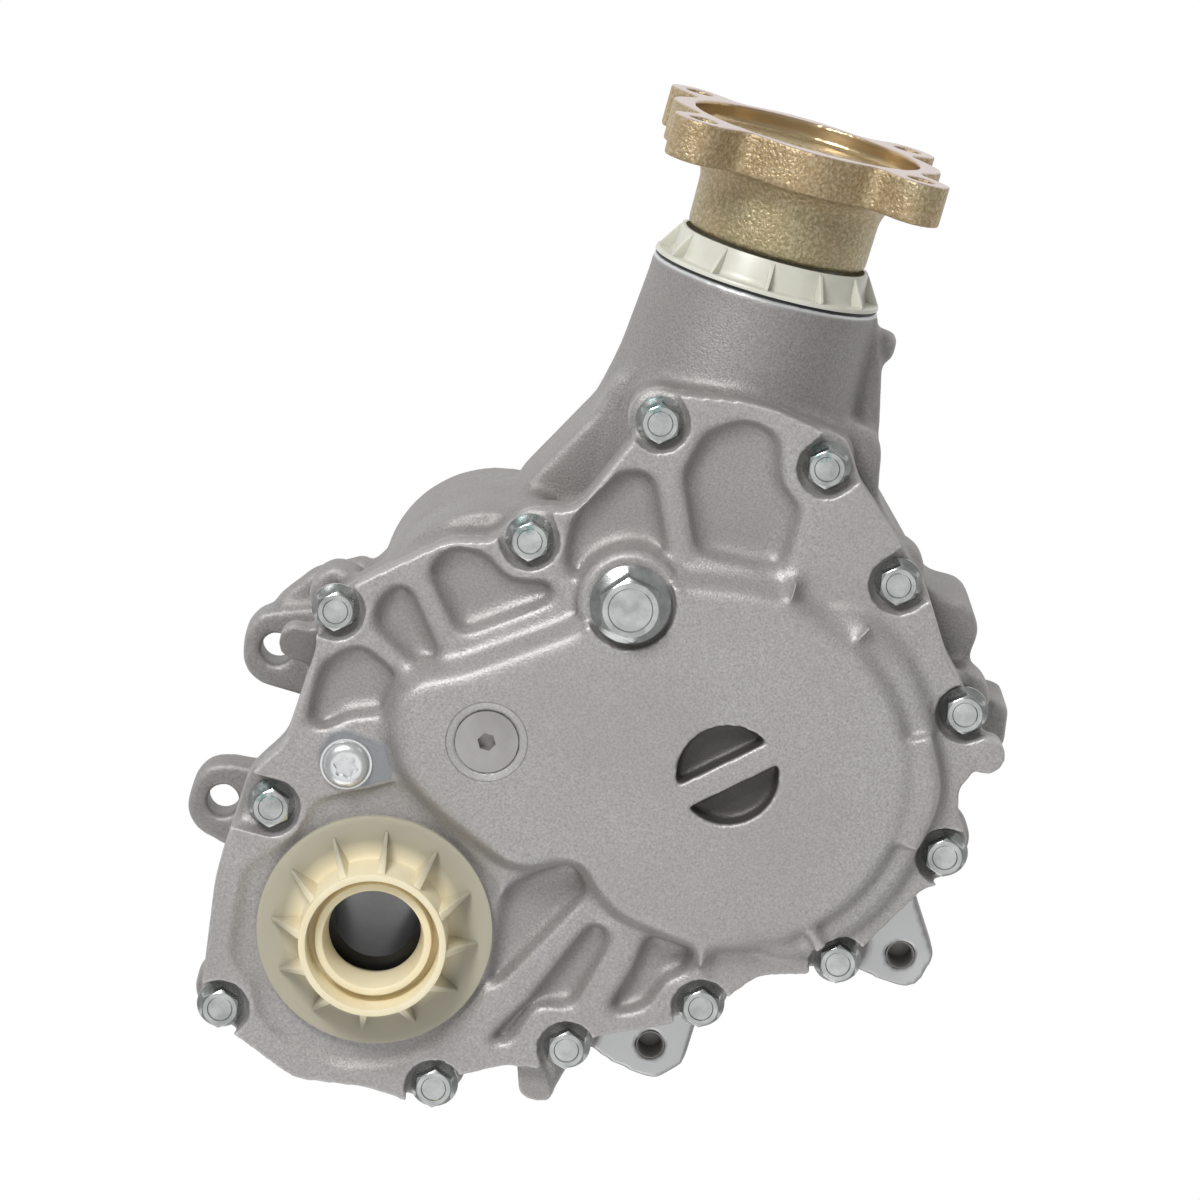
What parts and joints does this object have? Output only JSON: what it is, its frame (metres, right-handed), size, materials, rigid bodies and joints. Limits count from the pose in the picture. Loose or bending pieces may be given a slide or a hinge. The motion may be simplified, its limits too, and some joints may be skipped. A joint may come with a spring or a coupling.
{
  "type": "power transfer unit",
  "caption": "Power take-off unit with a cast housing, ribbed bolted cover, transfer gears, hypoid bevel pair and a lobed output flange.",
  "frame": {"origin": "on the axis of the hollow input shaft, in the plane of the face that bolts to the transaxle", "axes": "+Z along the input shaft, out through the ribbed cover; +Y along the pinion towards the output flange; +X across the cover"},
  "size_m": [0.2905, 0.3859, 0.1472],
  "materials": {
    "main_housing": "sand-grained die-cast aluminium",
    "front_cover": "sand-grained die-cast aluminium with machined pads",
    "cover_bolts": "bright zinc plate",
    "dowel_sleeves": "ground bearing steel",
    "fill_plug": "bright zinc plate",
    "fill_plug_washer": "soft aluminium washer",
    "check_screw": "bright zinc plate",
    "check_screw_washer": "soft aluminium washer",
    "idler_shaft": "ground bearing steel",
    "idler_shaft_seal": "moulded black rubber",
    "idler_thrust_washer_1": "ground bearing steel",
    "idler_thrust_washer_2": "ground bearing steel",
    "input_lower_cup": "ground bearing steel",
    "input_upper_cup": "ground bearing steel",
    "ring_lower_cup": "ground bearing steel",
    "ring_upper_cup": "ground bearing steel",
    "pinion_head_cup": "ground bearing steel",
    "pinion_tail_cup": "ground bearing steel",
    "pinion_shim": "ground bearing steel",
    "transaxle_seal": "moulded black rubber",
    "halfshaft_seal": "moulded black rubber",
    "pinion_seal": "moulded black rubber",
    "input_shaft": "ground bearing steel",
    "input_gear": "ground bearing steel",
    "input_lower_cone": "ground bearing steel",
    "input_upper_cone": "ground bearing steel",
    "idler_gear": "ground bearing steel",
    "idler_needles_1": "ground bearing steel",
    "idler_needles_2": "ground bearing steel",
    "ring_shaft": "ground bearing steel",
    "driven_gear": "ground bearing steel",
    "ring_gear": "ground bearing steel",
    "ring_lower_cone": "ground bearing steel",
    "ring_upper_cone": "ground bearing steel",
    "pinion": "ground bearing steel",
    "pinion_head_cone": "ground bearing steel",
    "pinion_tail_cone": "ground bearing steel",
    "crush_sleeve": "ground bearing steel",
    "output_flange": "cast, yellow chromate plated, machined face",
    "pinion_nut": "ground bearing steel",
    "pinion_nut_washer": "ground bearing steel",
    "dust_shield": "milky translucent moulded plastic",
    "seal_protector": "cream translucent moulded plastic"
  },
  "bodies": {
    "housing": {"main_housing": "main_housing", "front_cover": "front_cover", "cover_bolts": "cover_bolts", "dowel_sleeves": "dowel_sleeves", "fill_plug": "fill_plug", "fill_plug_washer": "fill_plug_washer", "check_screw": "check_screw", "check_screw_washer": "check_screw_washer", "idler_shaft": "idler_shaft", "idler_shaft_seal": "idler_shaft_seal", "idler_thrust_washer_1": "idler_thrust_washer_1", "idler_thrust_washer_2": "idler_thrust_washer_2", "input_lower_cup": "input_lower_cup", "input_upper_cup": "input_upper_cup", "ring_lower_cup": "ring_lower_cup", "ring_upper_cup": "ring_upper_cup", "pinion_head_cup": "pinion_head_cup", "pinion_tail_cup": "pinion_tail_cup", "pinion_shim": "pinion_shim", "transaxle_seal": "transaxle_seal", "halfshaft_seal": "halfshaft_seal", "pinion_seal": "pinion_seal"},
    "input_line": {"input_shaft": "input_shaft", "input_gear": "input_gear", "input_lower_cone": "input_lower_cone", "input_upper_cone": "input_upper_cone"},
    "idler": {"idler_gear": "idler_gear", "idler_needles_1": "idler_needles_1", "idler_needles_2": "idler_needles_2"},
    "ring_line": {"ring_shaft": "ring_shaft", "driven_gear": "driven_gear", "ring_gear": "ring_gear", "ring_lower_cone": "ring_lower_cone", "ring_upper_cone": "ring_upper_cone"},
    "pinion_line": {"pinion": "pinion", "pinion_head_cone": "pinion_head_cone", "pinion_tail_cone": "pinion_tail_cone", "crush_sleeve": "crush_sleeve", "output_flange": "output_flange", "pinion_nut": "pinion_nut", "pinion_nut_washer": "pinion_nut_washer", "dust_shield": "dust_shield"},
    "protector": {"seal_protector": "seal_protector"}
  },
  "joints": [
    {"name": "ring_spin", "type": "hinge", "parent": "housing", "child": "ring_line", "pos_m": [0.10858, 0.09438, 0.05], "axis": [0, 0, 1], "continuous": true},
    {"name": "idler_spin", "type": "hinge", "parent": "housing", "child": "idler", "pos_m": [0.02059, 0.08319, 0.05], "axis": [0, 0, 1], "continuous": true},
    {"name": "input_spin", "type": "hinge", "parent": "housing", "child": "input_line", "pos_m": [0, 0, 0.05], "axis": [0, 0, 1], "continuous": true},
    {"name": "pinion_spin", "type": "hinge", "parent": "housing", "child": "pinion_line", "pos_m": [0.07748, 0.2, 0.056], "axis": [0, 1, 0], "continuous": true},
    {"name": "protector_lift", "type": "slide", "parent": "housing", "child": "protector", "axis": [0, 0, 1], "range_m": [0, 0.06]}
  ],
  "couplings": [
    {"joint": "idler_spin", "follows": "ring_spin", "ratio": -0.73529},
    {"joint": "input_spin", "follows": "ring_spin", "ratio": 1.087},
    {"joint": "pinion_spin", "follows": "ring_spin", "ratio": -2.8182}
  ]
}
